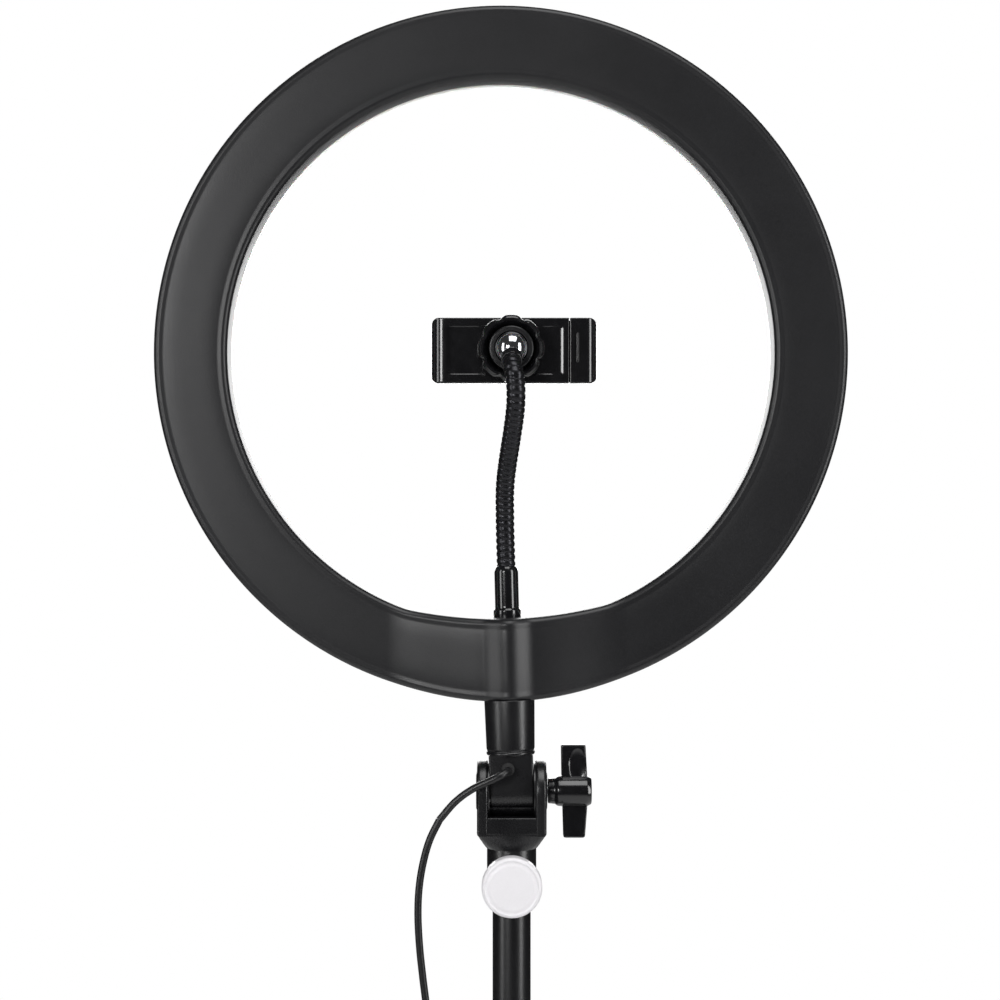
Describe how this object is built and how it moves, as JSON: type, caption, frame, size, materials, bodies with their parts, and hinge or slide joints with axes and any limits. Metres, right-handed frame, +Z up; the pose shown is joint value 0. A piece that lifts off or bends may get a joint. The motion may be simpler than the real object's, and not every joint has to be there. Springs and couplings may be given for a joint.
{
  "type": "ring light",
  "caption": "Ring light with a tilting head, a gooseneck phone clamp and an in-line controller, on a folding tripod stand.",
  "frame": {"origin": "on the floor, in the middle of the box around the stand's three feet", "axes": "+Z up, +Y the way the lamp shines, +X towards the wing knob"},
  "size_m": [0.5304, 0.4622, 1.0863],
  "materials": {
    "cover": "fine matte texture",
    "diffuser": "satin opal",
    "circuit_board": "white solder mask",
    "moulded_black": "satin moulded",
    "gloss_black": "glossy moulded",
    "white_plastic": "satin moulded",
    "painted_tube": "satin powder coat",
    "steel": "zinc plated",
    "chrome": "polished",
    "brass": "machined",
    "rubber": "matte",
    "cord": "satin PVC sheath"
  },
  "bodies": {
    "base": {"outer_tube": "painted_tube", "outer_collar": "moulded_black", "lower_hub": "moulded_black"},
    "crown": {"leg_crown": "moulded_black", "crown_rivet_front": "steel", "crown_rivet_right": "steel", "crown_rivet_left": "steel"},
    "crown_knob": {"crown_knob": "gloss_black", "crown_screw": "steel"},
    "leg_front": {"leg_front": "painted_tube", "foot_front": "rubber"},
    "leg_right": {"leg_right": "painted_tube", "foot_right": "rubber"},
    "leg_left": {"leg_left": "painted_tube", "foot_left": "rubber"},
    "brace_front": {"brace_front": "painted_tube"},
    "brace_right": {"brace_right": "painted_tube"},
    "brace_left": {"brace_left": "painted_tube"},
    "outer_knob": {"outer_knob": "gloss_black", "outer_screw": "steel"},
    "middle_section": {"middle_tube": "painted_tube", "middle_collar": "moulded_black", "middle_bush": "moulded_black"},
    "middle_knob": {"middle_knob": "gloss_black", "middle_screw": "steel"},
    "top_section": {"top_tube": "painted_tube", "top_plug": "moulded_black", "top_bush": "moulded_black", "ring_cable": "cord", "controller_case": "moulded_black", "usb_cable": "cord", "cord_coil": "cord", "usb_plug": "rubber", "usb_shell": "steel"},
    "button_brighter": {"button_brighter": "rubber"},
    "button_power": {"button_power": "rubber"},
    "button_dimmer": {"button_dimmer": "rubber"},
    "bracket": {"tilt_clevis": "moulded_black", "pivot_bolt": "steel"},
    "tilt_knob": {"tilt_knob": "gloss_black"},
    "lock_knob": {"lock_knob": "white_plastic", "lock_screw": "steel"},
    "ring_head": {"rear_cover": "cover", "diffuser": "diffuser", "led_board": "circuit_board", "gooseneck_insert": "brass", "neck": "moulded_black", "strain_relief": "rubber", "gooseneck_ferrule": "gloss_black", "cable_tail": "cord"},
    "gooseneck_lower": {"gooseneck_lower": "gloss_black"},
    "gooseneck_middle": {"gooseneck_middle": "gloss_black"},
    "gooseneck_upper": {"gooseneck_upper": "gloss_black", "ball_stud": "chrome"},
    "ball_socket": {"ball_socket": "moulded_black"},
    "ball_nut": {"ball_nut": "gloss_black"},
    "clamp": {"clamp_body": "gloss_black", "clamp_spring": "steel"},
    "clamp_jaw": {"clamp_jaw": "gloss_black"}
  },
  "joints": [
    {"name": "middle_slide", "type": "slide", "parent": "base", "child": "middle_section", "axis": [0, 0, 1], "range_m": [0, 0.33]},
    {"name": "top_slide", "type": "slide", "parent": "middle_section", "child": "top_section", "axis": [0, 0, 1], "range_m": [0, 0.36]},
    {"name": "outer_knob_turn", "type": "hinge", "parent": "base", "child": "outer_knob", "pos_m": [0.025, 0.07338, 0.479], "axis": [1, 0, 0], "range_deg": [0, 450]},
    {"name": "middle_knob_turn", "type": "hinge", "parent": "middle_section", "child": "middle_knob", "pos_m": [0.025, 0.07338, 0.541], "axis": [1, 0, 0], "range_deg": [0, 450]},
    {"name": "crown_slide", "type": "slide", "parent": "base", "child": "crown", "axis": [0, 0, 1], "range_m": [0, 0.0898]},
    {"name": "crown_knob_turn", "type": "hinge", "parent": "crown", "child": "crown_knob", "pos_m": [0, 0.1, 0.24589], "axis": [0, 1, 0], "range_deg": [0, 450]},
    {"name": "leg_fold", "type": "hinge", "parent": "crown", "child": "leg_front", "pos_m": [0, 0.04738, 0.24889], "axis": [1, 0, 0], "range_deg": [0, 40]},
    {"name": "brace_fold_front", "type": "hinge", "parent": "base", "child": "brace_front", "pos_m": [0, 0.04738, 0.062], "axis": [1, 0, 0], "range_deg": [-40, 0]},
    {"name": "leg_fold_right", "type": "hinge", "parent": "crown", "child": "leg_right", "pos_m": [0.02252, 0.08638, 0.24889], "axis": [-0.5, 0.866, 0], "range_deg": [0, 40]},
    {"name": "brace_fold_right", "type": "hinge", "parent": "base", "child": "brace_right", "pos_m": [0.02252, 0.08638, 0.062], "axis": [-0.5, 0.866, 0], "range_deg": [-40, 0]},
    {"name": "leg_fold_left", "type": "hinge", "parent": "crown", "child": "leg_left", "pos_m": [-0.02252, 0.08638, 0.24889], "axis": [-0.5, -0.866, 0], "range_deg": [0, 40]},
    {"name": "brace_fold_left", "type": "hinge", "parent": "base", "child": "brace_left", "pos_m": [-0.02252, 0.08638, 0.062], "axis": [-0.5, -0.866, 0], "range_deg": [-40, 0]},
    {"name": "head_swivel", "type": "hinge", "parent": "top_section", "child": "bracket", "pos_m": [0, 0.07338, 0.67], "axis": [0, 0, 1], "continuous": true, "deforming": ["ring_cable"]},
    {"name": "lock_knob_turn", "type": "hinge", "parent": "bracket", "child": "lock_knob", "pos_m": [0, 0.05, 0.6724], "axis": [0, 1, 0], "range_deg": [0, 450]},
    {"name": "tilt_knob_turn", "type": "hinge", "parent": "bracket", "child": "tilt_knob", "pos_m": [0.02, 0.07338, 0.7138], "axis": [1, 0, 0], "range_deg": [0, 450]},
    {"name": "head_tilt", "type": "hinge", "parent": "bracket", "child": "ring_head", "pos_m": [0, 0.07338, 0.7138], "axis": [1, 0, 0], "range_deg": [-90, 70], "deforming": ["cable_tail"]},
    {"name": "gooseneck_lean", "type": "hinge", "parent": "ring_head", "child": "gooseneck_lower", "pos_m": [-0.0027, 0.08538, 0.82437], "axis": [1, 0, 0], "range_deg": [-25, 25]},
    {"name": "gooseneck_sway", "type": "hinge", "parent": "gooseneck_lower", "child": "gooseneck_middle", "pos_m": [-0.00296, 0.07538, 0.85937], "axis": [0, 1, 0], "range_deg": [-20, 20]},
    {"name": "gooseneck_curl", "type": "hinge", "parent": "gooseneck_middle", "child": "gooseneck_upper", "pos_m": [0.00183, 0.04738, 0.8968], "axis": [1, 0, 0], "range_deg": [-10, 25]},
    {"name": "holder_tilt", "type": "hinge", "parent": "gooseneck_upper", "child": "ball_socket", "pos_m": [-0.0002, 0.06349, 0.92249], "axis": [1, 0, 0], "range_deg": [-10, 50]},
    {"name": "nut_turn", "type": "hinge", "parent": "ball_socket", "child": "ball_nut", "pos_m": [-0.0002, 0.06349, 0.92249], "axis": [0, 1, 0], "range_deg": [0, 360]},
    {"name": "holder_turn", "type": "hinge", "parent": "ball_socket", "child": "clamp", "pos_m": [-0.0002, 0.06349, 0.92249], "axis": [0, 1, 0], "continuous": true},
    {"name": "jaw_slide", "type": "slide", "parent": "clamp", "child": "clamp_jaw", "axis": [0.9997, 0, 0.0244], "range_m": [0, 0.026], "stiffness_N_per_m": 150, "springref_m": -0.012, "deforming": ["clamp_spring"]},
    {"name": "press_brighter", "type": "slide", "parent": "top_section", "child": "button_brighter", "axis": [0, 1, 0], "range_m": [0, 0.0006], "stiffness_N_per_m": 900, "springref_m": -0.0003},
    {"name": "press_power", "type": "slide", "parent": "top_section", "child": "button_power", "axis": [0, 1, 0], "range_m": [0, 0.0006], "stiffness_N_per_m": 900, "springref_m": -0.0003},
    {"name": "press_dimmer", "type": "slide", "parent": "top_section", "child": "button_dimmer", "axis": [0, 1, 0], "range_m": [0, 0.0006], "stiffness_N_per_m": 900, "springref_m": -0.0003}
  ],
  "couplings": [
    {"joint": "leg_fold_right", "follows": "leg_fold", "ratio": 1},
    {"joint": "leg_fold_left", "follows": "leg_fold", "ratio": 1},
    {"joint": "crown_slide", "follows": "leg_fold", "m_per_rad": 0.12848},
    {"joint": "brace_fold_front", "follows": "leg_fold", "ratio": -1},
    {"joint": "brace_fold_right", "follows": "leg_fold", "ratio": -1},
    {"joint": "brace_fold_left", "follows": "leg_fold", "ratio": -1}
  ]
}
